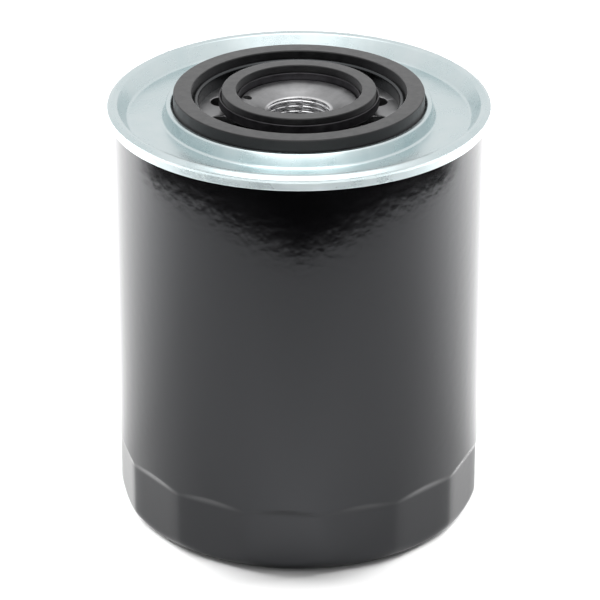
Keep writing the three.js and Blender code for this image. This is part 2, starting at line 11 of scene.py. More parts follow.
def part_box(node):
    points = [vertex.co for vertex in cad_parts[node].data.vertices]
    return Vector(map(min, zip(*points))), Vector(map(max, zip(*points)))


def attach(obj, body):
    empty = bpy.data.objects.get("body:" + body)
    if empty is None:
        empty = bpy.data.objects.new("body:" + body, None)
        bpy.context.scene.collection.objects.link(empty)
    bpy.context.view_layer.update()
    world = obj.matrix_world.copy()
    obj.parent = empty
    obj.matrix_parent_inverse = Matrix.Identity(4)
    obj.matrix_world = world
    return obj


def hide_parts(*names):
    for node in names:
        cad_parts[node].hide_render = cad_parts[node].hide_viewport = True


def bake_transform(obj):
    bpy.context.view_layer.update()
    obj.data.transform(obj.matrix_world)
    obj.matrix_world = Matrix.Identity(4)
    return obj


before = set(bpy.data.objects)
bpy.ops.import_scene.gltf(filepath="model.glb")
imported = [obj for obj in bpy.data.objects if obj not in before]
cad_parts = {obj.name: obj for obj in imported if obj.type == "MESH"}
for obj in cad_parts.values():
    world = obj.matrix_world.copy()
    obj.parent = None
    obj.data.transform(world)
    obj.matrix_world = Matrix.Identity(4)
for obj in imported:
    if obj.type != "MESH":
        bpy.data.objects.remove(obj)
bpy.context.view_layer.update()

bl_info = {
    "name": "Spin-on Oil Filter",
    "version": (1, 0, 0),
    "blender": (4, 5, 0),
    "location": "View3D > Sidebar > Oil Filter",
    "description": "Builds a spin-on oil filter with two sealing rings",
    "category": "Object",
}

MM = 0.001  # sections are written in millimetres, and meshes are in metres
SIDES = 180
ARC_STEP = math.radians(15)
SHARP_ANGLE = math.radians(48)
CAPS = ("fine_upper", "fine_lower", "main_upper", "main_lower")


def reach(node):
    """Inner radius, outer radius, foot and top of a round node, in millimetres."""
    radii = [math.hypot(v.co.x, v.co.y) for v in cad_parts[node].data.vertices]
    low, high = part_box(node)
    return min(radii) / MM, max(radii) / MM, low.z / MM, high.z / MM


# ---- Sizes and colours that a user would change ----


def length(name, description, default):
    return FloatProperty(name=name, description=description, default=default * MM, unit="LENGTH", precision=5)


def count(name, description, default, least=1, step=1):
    return IntProperty(name=name, description=description, default=default, min=least, step=step)


def coils(name, description, default):
    return FloatProperty(name=name, description=description, default=default, min=3)


def turn(name, description, degrees):
    return FloatProperty(name=name, description=description, default=math.radians(degrees), subtype="ANGLE")


def colour(name, description, default):
    return FloatVectorProperty(
        name=name, description=description, default=default, subtype="COLOR", size=3, min=0, max=1
    )


class CanSizes(bpy.types.PropertyGroup):
    """Drawn can and its wrench flats"""

    radius: length("Radius", "Outside radius of the can's wall", 52.7)
    wall: length("Wall", "Thickness of the drawn steel", 0.7)
    edge: length("Bottom edge", "Radius of the rolled bottom edge", 4.8)
    flat_count: count("Flats", "Wrench flats round the closed end", 15, 3)
    flat_depth: length("Flat depth", "How far the middle of a flat lies inside the wall", 1.05)
    flat_top: length("Flat height", "Height where the flats begin to run out", 18.2)
    flat_runout: length("Run-out", "Height over which a flat runs out into the wall", 4.4)
    corner_softness: length("Corner softness", "How much the corners between flats are eased", 0.7)
    corner_turn: turn("Turn", "Angle from -Y to the nearest corner", 7.4)
    recess_radius: length("Recess radius", "Radius of the recess in the closed end", 33.0)
    recess_slope: length("Recess slope", "Width of the slope round the recess", 2.5)
    recess_rise: length("Recess rise", "Height of the recess above the standing face", 1.2)


class LidSizes(bpy.types.PropertyGroup):
    """Seam lid, rolled onto the can"""

    seam_width: length("Seam width", "Skirt to the top edge of the seam's inner wall", 3.6)
    seam_height: length("Seam height", "Rim down to the foot of the skirt", 4.3)
    tuck: length("Skirt tuck", "How far the skirt stands in under the crown", 0.35)
    moat_depth: length("Moat depth", "Rim down to the floor of the moat", 4.6)
    groove_depth: length("Groove depth", "Rim down to the floor of the gasket groove", 2.5)
    ridge_drop: length("Ridge drop", "Rim down to the crest of the ridge", 0.6)
    lip_rise: length("Lip rise", "How far the hemmed lip stands above the rim", 0.5)
    sheet: length("Sheet", "Thickness of the pressed steel", 0.7)


class PlateSizes(bpy.types.PropertyGroup):
    """Threaded base plate"""

    thread_radius: length("Thread radius", "Radius of the thread's crests", 8.8)
    thread_pitch: length("Thread pitch", "Height of one turn", 1.5875)
    thread_depth: length("Thread depth", "Depth of the thread's groove", 0.725)
    thread_turn: turn("Thread start", "Angle where the thread starts", 175)
    inlet_count: count("Inlet holes", "Inlet holes round the thread", 10)
    inlet_radius: length("Inlet radius", "Radius of an inlet hole", 3.6)
    inlet_circle: length("Inlet circle", "Radius of the circle of inlet holes", 22.45)
    chamfer: length("Chamfer", "Width of the chamfer on the inlet holes", 0.4)
    bleed_radius: length("Bleed radius", "Radius of the bleed hole in the bowl", 1.3)
    bleed_circle: length("Bleed circle", "Distance of the bleed hole from the axis", 15.0)
    bleed_turn: turn("Bleed turn", "Angle of the bleed hole from +X", 166)


class ElementSizes(bpy.types.PropertyGroup):
    """Elements, valves and springs"""

    fine_pleats: count("Fine pleats", "Pleats in the fine element", 60, 6)
    main_pleats: count("Main pleats", "Pleats in the main element", 54, 6)
    paper: length("Paper", "Thickness of the filter paper", 0.5)
    sheet: length("Sheet", "Thickness of the pressed steel of the caps and seats", 0.7)
    clearance: length("Clearance", "Space left between pieces that touch", 0.3)
    fine_rows: count("Fine tube rows", "Rows of holes in the fine tube", 2)
    main_rows: count("Main tube rows", "Rows of holes in the main tube", 4)
    row_holes: count("Holes in a row", "Holes round a centre tube", 6, 2, 2)
    hole_radius: length("Tube hole radius", "Radius of the holes in the centre tubes", 2.6)
    disc: length("Valve disc", "Thickness of the relief valve's disc", 1.0)
    valve_wire: length("Valve wire", "Wire of the relief valve's spring", 1.0)
    valve_coils: coils("Valve coils", "Turns of the relief valve's spring", 5.5)
    support_wire: length("Support wire", "Wire of the support spring", 2.2)
    support_coils: coils("Support coils", "Turns of the support spring", 3.5)
    support_foot: length("Support foot", "Outside radius of the support spring's foot", 30.1)
    support_head: length("Support head", "Outside radius of the support spring's head", 23.9)


class Colours(bpy.types.PropertyGroup):
    """Colours of the finishes"""

    enamel: colour("Enamel", "Gloss black enamel of the can", (0.0009, 0.0009, 0.0011))
    zinc: colour("Zinc", "Bright zinc plating of the lid", (0.62, 0.69, 0.70))
    steel: colour("Steel", "Bare machined steel of the base plate", (0.30, 0.30, 0.305))
    dark_steel: colour("Dark steel", "Dark plated steel of the gasket retainer", (0.045, 0.043, 0.047))
    spring_steel: colour("Spring steel", "Wire of the springs", (0.30, 0.30, 0.31))
    gasket: colour("Gasket rubber", "Moulded rubber of the sealing rings", (0.0035, 0.0035, 0.0042))
    valve_rubber: colour(
        "Valve rubber", "Rubber of the anti-drain flap and inner seal", (0.006, 0.006, 0.007)
    )
    sealant: colour("Sealant", "Compound rolled into the seam", (0.58, 0.54, 0.39))
    adhesive: colour("Adhesive", "Adhesive that holds the paper in its caps", (0.48, 0.062, 0.028))
    paper: colour("Paper", "Resin-treated filter paper", (0.69, 0.48, 0.18))


GROUPS = {
    "filter_can": CanSizes,
    "filter_lid": LidSizes,
    "filter_plate": PlateSizes,
    "filter_elements": ElementSizes,
    "filter_colours": Colours,
}


class Sizes:
    """A group's lengths in millimetres, and its other values as they are."""

    def __init__(self, group):
        for key, prop in group.bl_rna.properties.items():
            value = getattr(group, key)
            setattr(self, key, value / MM if prop.type == "FLOAT" and prop.unit == "LENGTH" else value)


# ---- Ways of making a mesh ----


def rounded(corners):
    """Points of a section whose corners are (radius, height) or (radius, height, rounding)."""
    points = []
    for i, (r, z, *rounding) in enumerate(corners):
        here = Vector((r, z))
        if not rounding:
            points.append(here)
            continue
        before = Vector(corners[i - 1][:2]) - here
        after = Vector(corners[(i + 1) % len(corners)][:2]) - here
        half = before.angle(after) / 2
        cut = min(rounding[0] / math.tan(half), 0.49 * before.length, 0.49 * after.length)
        curve = cut * math.tan(half)
        before.normalize()
        after.normalize()
        centre = here + (before + after).normalized() * curve / math.sin(half)
        start, end = here + before * cut - centre, here + after * cut - centre
        sweep = math.pi - 2 * half
        steps = max(2, math.ceil(sweep / ARC_STEP))
        for k in range(steps + 1):
            t = k / steps
            spoke = (start * math.sin((1 - t) * sweep) + end * math.sin(t * sweep)) / math.sin(sweep)
            points.append(centre + spoke)
    return points


def turned(points, sides=SIDES, place=None):
    """A section turned round the axis. place(angle, r, z) may give each point another radius and height."""
    form = bmesh.new()
    closed = not (points[0][0] == 0 and points[-1][0] == 0)
    rings = []
    for r, z in points:
        loop = []
        for k in range(sides if r > 0 else 1):
            angle = 2 * math.pi * k / sides
            radius, height = place(angle, r, z) if place else (r, z)
            spot = Vector((radius * math.cos(angle), radius * math.sin(angle), height))
            loop.append(form.verts.new(spot * MM))
        rings.append(loop)
    following = rings[1:] + rings[:1] if closed else rings[1:]
    for low, high in zip(rings, following):
        for k in range(sides):
            n = k + 1
            corners = [low[k % len(low)], low[n % len(low)], high[n % len(high)], high[k % len(high)]]
            form.faces.new(dict.fromkeys(corners))
    bmesh.ops.recalc_face_normals(form, faces=form.faces)
    return form


def ring(inner, outer, foot, top, rounding):
    """A plain ring with rounded edges."""
    corners = [(inner, foot), (outer, foot), (outer, top), (inner, top)]
    return turned(rounded([(r, z, rounding) for r, z in corners]))


def swept_wire(wire, spots, sides=14):
    """Round wire along a list of spots, with flat ends."""
    form = bmesh.new()
    rings = []
    for i, spot in enumerate(spots):
        along = (spots[min(i + 1, len(spots) - 1)] - spots[max(i - 1, 0)]).normalized()
        out = Vector((spot.x, spot.y, 0)).normalized()
        up = along.cross(out).normalized()
        out = up.cross(along)
        turns = [2 * math.pi * k / sides for k in range(sides)]
        offsets = [out * math.cos(a) + up * math.sin(a) for a in turns]
        rings.append([form.verts.new((spot + offset * wire / 2) * MM) for offset in offsets])
    for low, high in zip(rings, rings[1:]):
        for k in range(sides):
            n = (k + 1) % sides
            form.faces.new((low[k], low[n], high[n], high[k]))
    form.faces.new(rings[0])
    form.faces.new(rings[-1])
    bmesh.ops.recalc_face_normals(form, faces=form.faces)
    return form


def coil_spots(foot_radius, head_radius, foot, head, turns, end_pitch, steps=40):
    """Spots along a helix with a flatter turn at each end."""
    spots = []
    active = max(turns - 2, 0.01)
    pitch = (head - foot - 2 * end_pitch) / active
    count = round(turns * steps)
    for i in range(count + 1):
        t = i / count
        turn = t * turns
        height = foot + min(turn, 1) * end_pitch + max(turn - turns + 1, 0) * end_pitch
        height += min(max(turn - 1, 0), active) * pitch
        radius = foot_radius + (head_radius - foot_radius) * t
        angle = 2 * math.pi * turn
        spots.append(Vector((radius * math.cos(angle), radius * math.sin(angle), height)))
    return spots


def upright_pin(circle, angle, outline):
    """A turned cutter that stands on a circle round the axis."""
    form = turned(outline, 40)
    shift = Vector((circle * math.cos(angle), circle * math.sin(angle), 0)) * MM
    bmesh.ops.translate(form, vec=shift, verts=form.verts)
    return form


def cross_pin(radius, half_length, height, angle, sides=28):
    """A round cutter that lies across the axis."""
    form = bmesh.new()
    along = Vector((math.cos(angle), math.sin(angle), 0))
    beside = Vector((-math.sin(angle), math.cos(angle), 0))
    ends = []
    for way in (-1, 1):
        end = []
        for k in range(sides):
            turn = 2 * math.pi * k / sides
            spot = along * way * half_length + beside * radius * math.cos(turn)
            spot.z = height + radius * math.sin(turn)
            end.append(form.verts.new(spot * MM))
        form.faces.new(end)
        ends.append(end)
    for k in range(sides):
        n = (k + 1) % sides
        form.faces.new((ends[0][k], ends[0][n], ends[1][n], ends[1][k]))
    bmesh.ops.recalc_face_normals(form, faces=form.faces)
    return form


def slot_cutter(half_length, half_width, foot, top, angle):
    """A block that lies across the axis between two heights."""
    form = bmesh.new()
    size = Vector((2 * half_length, 2 * half_width, top - foot)) * MM
    bmesh.ops.create_cube(form, size=1, matrix=Matrix.Rotation(angle, 4, "Z") @ Matrix.Diagonal((*size, 1)))
    bmesh.ops.translate(form, vec=(0, 0, (foot + top) / 2 * MM), verts=form.verts)
    return form


def pleated(inner, outer, foot, top, pleats, paper, steps=6):
    """Paper folded round the axis, with round folds at both ends of each pleat."""
    half = paper / 2
    fold_in = max(2 * math.pi * inner / pleats / 4, half + 0.05)
    fold_out = min(2 * math.pi * outer / pleats / 4, 1)
    outside, inside = [], []
    for k in range(2 * pleats):
        turn = math.pi * k / pleats
        out = Vector((math.cos(turn), math.sin(turn)))
        side = Vector((-math.sin(turn), math.cos(turn)))
        way, fold = (1, fold_out) if k % 2 == 0 else (-1, fold_in)
        centre = out * (outer - fold_out - half if way > 0 else inner + fold_in + half)
        for j in range(steps + 1):
            a = math.pi * (j / steps - 0.5)
            spoke = out * way * math.cos(a) + side * math.sin(a)
            outside.append(centre + spoke * (fold + way * half))
            inside.append(centre + spoke * (fold - way * half))
    form = bmesh.new()
    walls = []
    for outline, height in ((outside, foot), (outside, top), (inside, top), (inside, foot)):
        walls.append([form.verts.new(Vector((x, y, height)) * MM) for x, y in outline])
    for low, high in zip(walls, walls[1:] + walls[:1]):
        for k in range(len(low)):
            n = (k + 1) % len(low)
            form.faces.new((low[k], low[n], high[n], high[k]))
    bmesh.ops.recalc_face_normals(form, faces=form.faces)
    return form


def joined(forms):
    """One mesh of several forms that don't touch."""
    whole = bpy.data.meshes.new("cutters")
    total = bmesh.new()
    for form in forms:
        form.to_mesh(whole)
        form.free()
        total.from_mesh(whole)
    bpy.data.meshes.remove(whole)
    return total


def new_object(name, form):
    mesh = bpy.data.meshes.new(name)
    form.to_mesh(mesh)
    form.free()
    made = bpy.data.objects.new(name, mesh)
    bpy.context.scene.collection.objects.link(made)
    return made


def without(form, cutters):
    """The form with the cutters taken away."""
    body, tool = new_object("blank", form), new_object("cutter", joined(cutters))
    cut = body.modifiers.new("Cut", "BOOLEAN")
    cut.operation, cut.solver, cut.object = "DIFFERENCE", "EXACT", tool
    evaluated = body.evaluated_get(bpy.context.evaluated_depsgraph_get())
    left = bmesh.new()
    left.from_mesh(evaluated.to_mesh())
    evaluated.to_mesh_clear()
    for spent in (body, tool):
        mesh = spent.data
        bpy.data.objects.remove(spent)
        bpy.data.meshes.remove(mesh)
    return left


def piece(name, form, slot, node, body="filter", blend=None):
    """Makes a form a piece of the filter: gives it its finish, hangs it on its body unless blend is given,
    when its transform is only baked in, and hides the node that it stands for.
    """
    made = new_object(name, form)
    made.data.shade_smooth()
    made.data.set_sharp_from_angle(angle=SHARP_ANGLE)
    weigh = made.modifiers.new("Even shading", "WEIGHTED_NORMAL")
    weigh.keep_sharp = True
    made.data.materials.append(FINISHES[slot]())
    if blend:
        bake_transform(made)
    else:
        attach(made, body)
    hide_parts(node)
    return made


# ---- Ways of making a finish ----


class Value:
    """A socket that takes arithmetic: an expression on values adds its Math nodes."""

    def __init__(self, look, socket):
        self.look, self.socket = look, socket

    def _maths(self, operation, first, second):
        return self.look.node("ShaderNodeMath", {"operation": operation}, {0: first, 1: second})

    def __add__(self, other):
        return self._maths("ADD", self, other)

    def __radd__(self, other):
        return self._maths("ADD", other, self)

    def __sub__(self, other):
        return self._maths("SUBTRACT", self, other)

    def __rsub__(self, other):
        return self._maths("SUBTRACT", other, self)

    def __mul__(self, other):
        return self._maths("MULTIPLY", self, other)

    def __rmul__(self, other):
        return self._maths("MULTIPLY", other, self)

    def __pow__(self, other):
        return self._maths("POWER", self, other)


class Look:
    """A procedural material on one Principled shader."""

    def __init__(self, name, **constants):
        self.material = bpy.data.materials.new(name)
        self.material.use_nodes = True
        self.tree = self.material.node_tree
        self.shader = self.tree.nodes["Principled BSDF"]
        for key, value in constants.items():
            self.shader.inputs[key.replace("_", " ")].default_value = value
        self.place = self.node("ShaderNodeTexCoord", output="Object")

    def node(self, kind, settings=None, sockets=None, output=0):
        """Adds a node: its settings first, then the values or links of its sockets."""
        made = self.tree.nodes.new(kind)
        for key, value in (settings or {}).items():
            setattr(made, key, value)
        for key, value in (sockets or {}).items():
            if isinstance(value, Value):
                self.tree.links.new(value.socket, made.inputs[key])
            else:
                made.inputs[key].default_value = value
        return Value(self, made.outputs[output])

    def noise(self, size, detail=2, roughness=0.5, place=None):
        """Soft noise whose blotches are about size metres across."""
        sockets = {"Vector": place or self.place, "Scale": 1 / size, "Detail": detail, "Roughness": roughness}
        return self.node("ShaderNodeTexNoise", {}, sockets)

    def spread(self, value, low, high):
        """A value stretched so that low becomes 0 and high becomes 1, held at both ends."""
        sockets = {"Value": value, "From Min": low, "From Max": high}
        return self.node("ShaderNodeMapRange", {"clamp": True}, sockets)

    def mixed(self, factor, first, second):
        """A colour between two colours."""
        return self.node("ShaderNodeMix", {"data_type": "RGBA"}, {0: factor, 6: first, 7: second}, output=2)

    def radius(self):
        """Distance from the filter's axis."""
        x, y, _ = self.parts()
        return (x * x + y * y) ** 0.5

    def parts(self):
        """The place's distance along each axis."""
        first = self.node("ShaderNodeSeparateXYZ", sockets={"Vector": self.place})
        return [Value(self, socket) for socket in first.socket.node.outputs]

    def rings(self, across, along):
        """Places for marks that run round the axis, across and along being their sizes in metres."""
        x, y, z = self.parts()
        radius = (x * x + y * y) ** 0.5
        turn = self.node("ShaderNodeMath", {"operation": "ARCTAN2"}, {0: y, 1: x})
        middle = 0.03  # radius where a mark has its stated length
        sockets = {"X": (radius + z) * (1 / across), "Y": turn * (middle / along), "Z": z * (1 / across)}
        return self.node("ShaderNodeCombineXYZ", {}, sockets)

    def bump(self, height, depth, strength=1.0):
        """Bumps of a depth in metres on the surface, over any that it has."""
        sockets = {"Height": height, "Distance": depth, "Strength": strength}
        normal = self.shader.inputs["Normal"]
        if normal.is_linked:
            sockets["Normal"] = Value(self, normal.links[0].from_socket)
        self.feed("Normal", self.node("ShaderNodeBump", {}, sockets))

    def feed(self, name, value):
        self.tree.links.new(value.socket, self.shader.inputs[name])


def shade(base, factor):
    """A colour made lighter or darker, with its alpha."""
    return (*(min(c * factor, 1) for c in base), 1)


def tinted(base, tint):
    """A colour with each of its parts made lighter or darker, with its alpha."""
    return (*(min(c * t, 1) for c, t in zip(base, tint)), 1)


def palette():
    return bpy.context.scene.filter_colours


def once(make):
    """Each finish is made once and shared by the pieces that wear it."""
    kept = {}

    def finish():
        if "material" not in kept:
            kept["material"] = make()
        return kept["material"]

    return finish


@once
def black_paint():
    """Gloss enamel with a slight orange peel."""
    base = palette().enamel
    look = Look("black_enamel", IOR=1.5, Specular_Tint=(0.93, 0.95, 1.0, 1))
    cloud = look.noise(0.03, 3)
    look.feed("Base Color", look.mixed(cloud, shade(base, 0.8), shade(base, 1.3)))
    look.feed("Roughness", 0.07 + 0.05 * look.noise(0.012, 4))
    look.bump(look.noise(0.0024, 1, 0.4), 0.00002)
    look.bump(look.noise(0.0009, 2, 0.6), 0.000003)
    return look.material


@once
def zinc_plate():
    """Bright zinc plating with soft clouds and faint rolling marks, and painted shade on the lip."""
    base = palette().zinc
    look = Look("bright_zinc", Metallic=1.0)
    cloud = look.spread(look.noise(0.011, 5, 0.62), 0.3, 0.72)
    marks = look.noise(1.0, 3, 0.6, look.rings(0.0011, 0.012))
    pale, deep = tinted(base, (1.06, 1.04, 1.04)), tinted(base, (0.88, 0.93, 0.94))
    plating = look.mixed(cloud * 0.7 + marks * 0.3, deep, pale)
    lip_shade = look.spread(look.radius(), 0.0301, 0.0296)  # painted shade: everything inside 29.6 mm of the axis, the lid's lip among it, is painted near-black
    # near-black colour of the painted shade on the lip
    lip_shade_colour = (0.06, 0.063, 0.066, 1)
    look.feed("Base Color", look.mixed(lip_shade, plating, lip_shade_colour))
    look.feed("Roughness", 0.2 + 0.12 * cloud + 0.06 * marks)
    look.bump(marks, 0.000002)
    look.bump(look.noise(0.0016, 2, 0.5), 0.000003)
    return look.material


@once
def plain_steel():
    """Bare steel with fine turning marks, lighter where the thread is cut, with painted highlight on the
    thread's crests.
    """
    base = palette().steel
    look = Look("turned_steel", Metallic=1.0)
    marks = look.noise(1.0, 2, 0.5, look.rings(0.00025, 0.03))
    cloud = look.spread(look.noise(0.004, 4, 0.6), 0.3, 0.7)
    skin = look.mixed(cloud * 0.6 + marks * 0.4, shade(base, 0.78), shade(base, 1.2))
    cut = look.spread(look.radius(), 0.0098, 0.0091)  # the bore is freshly cut steel, lighter than the plate, and lightest at the crests, which paints highlight on them
    # 2.6 times lighter: the cut steel's own tone, raised further as painted highlight
    look.feed("Base Color", look.mixed(cut, skin, shade(base, 2.6)))
    look.feed("Roughness", 0.3 + 0.12 * cloud - 0.1 * cut)
    look.bump(marks, 0.000005)
    return look.material


@once
def dark_steel():
    """Dark plated steel with a satin skin."""
    base = palette().dark_steel
    look = Look("dark_plated_steel", Metallic=0.9)
    cloud = look.spread(look.noise(0.003, 4, 0.6), 0.3, 0.7)
    look.feed("Base Color", look.mixed(cloud, shade(base, 0.75), shade(base, 1.3)))
    look.feed("Roughness", 0.34 + 0.14 * cloud)
    look.bump(look.noise(0.0005, 2), 0.000004)
    return look.material


@once
def spring_steel():
    """Drawn wire with a light oil film."""
    base = palette().spring_steel
    look = Look("spring_wire", Metallic=1.0)
    cloud = look.noise(0.002, 4, 0.6)
    look.feed("Base Color", look.mixed(cloud, shade(base, 0.7), shade(base, 1.3)))
    look.feed("Roughness", 0.24 + 0.16 * cloud)
    look.bump(look.noise(0.0003, 2), 0.000004)
    return look.material


def rubber(name, base, bloom):
    """Moulded rubber: matt, faintly mottled, with a trace of bloom."""
    look = Look(name, Specular_IOR_Level=0.36, Sheen_Weight=0.18, Sheen_Roughness=0.4)
    mottle = look.spread(look.noise(0.0028, 5, 0.66), 0.36, 0.7)
    grain = look.noise(0.00035, 3, 0.6)
    skin = look.mixed(mottle * 0.75 + grain * 0.25, shade(base, 0.72), shade(base, bloom))
    look.feed("Base Color", skin)
    look.feed("Roughness", 0.36 + 0.16 * mottle)
    look.bump(grain, 0.00001)
    look.bump(mottle, 0.00001)
    return look.material


@once
def gasket_rubber():
    return rubber("gasket_rubber", palette().gasket, 1.6)


@once
def valve_rubber():
    return rubber("valve_rubber", palette().valve_rubber, 1.35)


@once
def seam_compound():
    """Pale compound that sets soft in the seam."""
    base = palette().sealant
    look = Look("seam_compound", Roughness=0.7)
    cloud = look.noise(0.004, 3)
    look.feed("Base Color", look.mixed(cloud, shade(base, 0.8), shade(base, 1.15)))
    look.bump(cloud, 0.0001)
    return look.material


@once
def cap_adhesive():
    """Red-brown plastisol, glossy where it flowed."""
    base = palette().adhesive
    look = Look("cap_adhesive", IOR=1.46)
    flow = look.noise(0.005, 3)
    look.feed("Base Color", look.mixed(flow, shade(base, 0.75), shade(base, 1.2)))
    look.feed("Roughness", 0.3 + 0.3 * flow)
    look.bump(flow, 0.00015)
    return look.material


@once
def filter_paper():
    """Resin-treated paper with felted fibres."""
    base = palette().paper
    look = Look("filter_paper", Roughness=0.85)
    fibre = look.noise(0.0006, 6, 0.7)
    cloud = look.noise(0.012, 3)
    sheet = look.mixed(fibre * 0.6 + cloud * 0.4, shade(base, 0.72), shade(base, 1.15))
    look.feed("Base Color", sheet)
    look.bump(fibre, 0.00008)
    return look.material


FINISHES = {
    "black_paint": black_paint,
    "zinc_plate": zinc_plate,
    "plain_steel": plain_steel,
    "dark_steel": dark_steel,
    "spring_steel": spring_steel,
    "gasket_rubber": gasket_rubber,
    "valve_rubber": valve_rubber,
    "seam_compound": seam_compound,
    "cap_adhesive": cap_adhesive,
    "filter_paper": filter_paper,
}


# ---- The pieces, one operator each or one for a group of like pieces ----


class MakeCan(bpy.types.Operator):
    """Builds the drawn can with its rolled bottom edge and soft wrench flats"""

    bl_idname = "oil_filter.can"
    bl_label = "Can"

    def execute(self, context):
        s = Sizes(context.scene.filter_can)
        top = reach("can")[3]
        apothem = s.radius - s.flat_depth
        sector = 2 * math.pi / s.flat_count
        runout_top = s.flat_top + s.flat_runout
        overshoot = 1.3  # a flat rises past the round wall before its run-out ends
        least_softness = 0.01

        def place(angle, r, z):
            """Brings a point of the round wall in to the flat at its angle, which runs out upwards."""
            rise = min(max((z - s.flat_top) / s.flat_runout, 0), 1)
            lift = rise * rise * (3 - 2 * rise)
            across = (angle + math.pi / 2 - s.corner_turn) % sector - sector / 2
            flat = (apothem + overshoot * lift * s.flat_depth) / math.cos(across)
            soft = s.corner_softness * (1 - lift) + least_softness
            ease = max(soft - abs(flat - r), 0) / soft
            return min(flat, r) - ease * ease * soft / 4, z

        flat_step, flat_steps, runout_steps, edge_steps, wall_step = 1.5, 8, 14, 14, 15
        heights = [s.edge + flat_step * k for k in range(1, flat_steps + 1)]
        heights += [s.flat_top + s.flat_runout * k / runout_steps for k in range(runout_steps + 2)]
        heights += [*range(2 * wall_step, 8 * wall_step, wall_step), top]
        edge = []
        for k in range(edge_steps + 1):
            a = math.pi / 2 * k / edge_steps
            edge.append((s.radius - s.edge + s.edge * math.sin(a), s.edge - s.edge * math.cos(a)))
        slope_foot = s.recess_radius + s.recess_slope
        crease, foot_crease = 1.5, 1.2
        recess = [(0, s.recess_rise), (s.recess_radius, s.recess_rise, crease)]
        recess += [(slope_foot, 0, foot_crease), edge[0]]
        inner, shoulder, bevel = apothem - s.wall, 2, 1
        inside = [
            (s.radius - s.wall, top),
            (s.radius - s.wall, runout_top + shoulder),
            (inner, s.flat_top),
            (inner, s.wall + s.edge),
            (inner - s.edge / 3, s.wall + bevel),
            (inner - s.edge, s.wall),
            (slope_foot, s.wall),
            (s.recess_radius, s.recess_rise + s.wall),
            (0, s.recess_rise + s.wall),
        ]
        section = rounded(recess)[:-1] + edge + [(s.radius, h) for h in heights] + inside
        sides_to_a_flat = 24
        form = turned([tuple(point) for point in section], s.flat_count * sides_to_a_flat, place)
        piece("drawn_can", form, "black_paint", node="can")
        return {"FINISHED"}


class MakeLid(bpy.types.Operator):
    """Builds the zinc lid: rolled seam, moat, ridge, gasket groove and hemmed lip"""

    bl_idname = "oil_filter.lid"
    bl_label = "Seam lid"

    def execute(self, context):
        s = Sizes(context.scene.filter_lid)
        lip, skirt, under, high = reach("seam_lid")
        rim = high - s.lip_rise
        foot = rim - s.seam_height
        moat, groove, crest = rim - s.moat_depth, rim - s.groove_depth, rim - s.ridge_drop
        seam_inner = skirt - s.seam_width
        straight = skirt - s.tuck
        gasket_inner, gasket_outer = reach("outer_gasket")[:2]
        inner_gap, outer_gap, ridge_width, sides = 0.45, 0.25, 1.65, 240
        groove_inner, groove_outer = gasket_inner - inner_gap, gasket_outer + outer_gap
        ridge = groove_outer + ridge_width
        hidden_face = [
            (lip, under, 0.2),
            (ridge - 0.4, under, 0.5),
            (ridge + 0.6, moat - s.sheet, 0.5),
            (seam_inner - 1.7, moat - s.sheet, 0.6),
            (seam_inner + 0.56, rim - s.sheet, 0.3),
            (straight - s.sheet, rim - s.sheet, 0.3),
            (straight - s.sheet, foot + 0.5, 0.2),
        ]
        curled_skirt = [
            (skirt - 0.95, foot, 0.15),
            (straight, foot + 0.05, 0.3),
            (straight, foot + 1.3, 0.9),
            (straight, rim - 2.0, 0.3),
        ]
        crown = [(skirt, rim - 1.35, 0.3), (skirt, rim - 0.9, 0.3), (skirt - 1.3, rim, 1.0)]
        moat_and_ridge = [
            (seam_inner + 0.8, rim - 0.35, 0.8),
            (seam_inner - 1.9, moat, 1.0),
            (ridge + 0.95, moat, 0.8),
            (ridge, crest, 0.6),
            (groove_outer, crest, 0.6),
        ]
        groove_and_lip = [
            (groove_outer, groove, 0.3),
            (groove_inner, groove, 0.3),
            (groove_inner, rim + s.lip_rise, 0.7),
            (lip, rim + s.lip_rise, 0.7),
        ]
        section = rounded(hidden_face + curled_skirt + crown + moat_and_ridge + groove_and_lip)
        piece("rolled_lid", turned(section, sides), "zinc_plate", node="seam_lid")
        return {"FINISHED"}


class MakeSealant(bpy.types.Operator):
    """Builds the ring of compound rolled into the seam"""

    bl_idname = "oil_filter.sealant"
    bl_label = "Seam sealant"

    def execute(self, context):
        inner, outer, foot, top = reach("seam_sealant")
        slope = 1.2
        section = [(inner, foot, 0.4), (outer, foot, 0.3), (outer, top, 0.3), (inner + slope, top, 0.5)]
        piece("sealant_ring", turned(rounded(section)), "seam_compound", node="seam_sealant")
        return {"FINISHED"}


class MakeGaskets(bpy.types.Operator):
    """Builds the two moulded sealing rings"""

    bl_idname = "oil_filter.gaskets"
    bl_label = "Gaskets"

    def execute(self, context):
        inner, outer, foot, top = reach("outer_gasket")
        flare, foot_edge, top_edge = 0.2, 0.3, 0.35
        section = [(inner, foot, foot_edge), (outer, foot, foot_edge)]
        section += [(outer - flare, top, top_edge), (inner, top, top_edge)]
        piece("large_sealing_ring", turned(rounded(section)), "gasket_rubber", node="outer_gasket")
        small = ring(*reach("inner_gasket"), foot_edge)
        piece("small_sealing_ring", small, "gasket_rubber", node="inner_gasket")
        return {"FINISHED"}


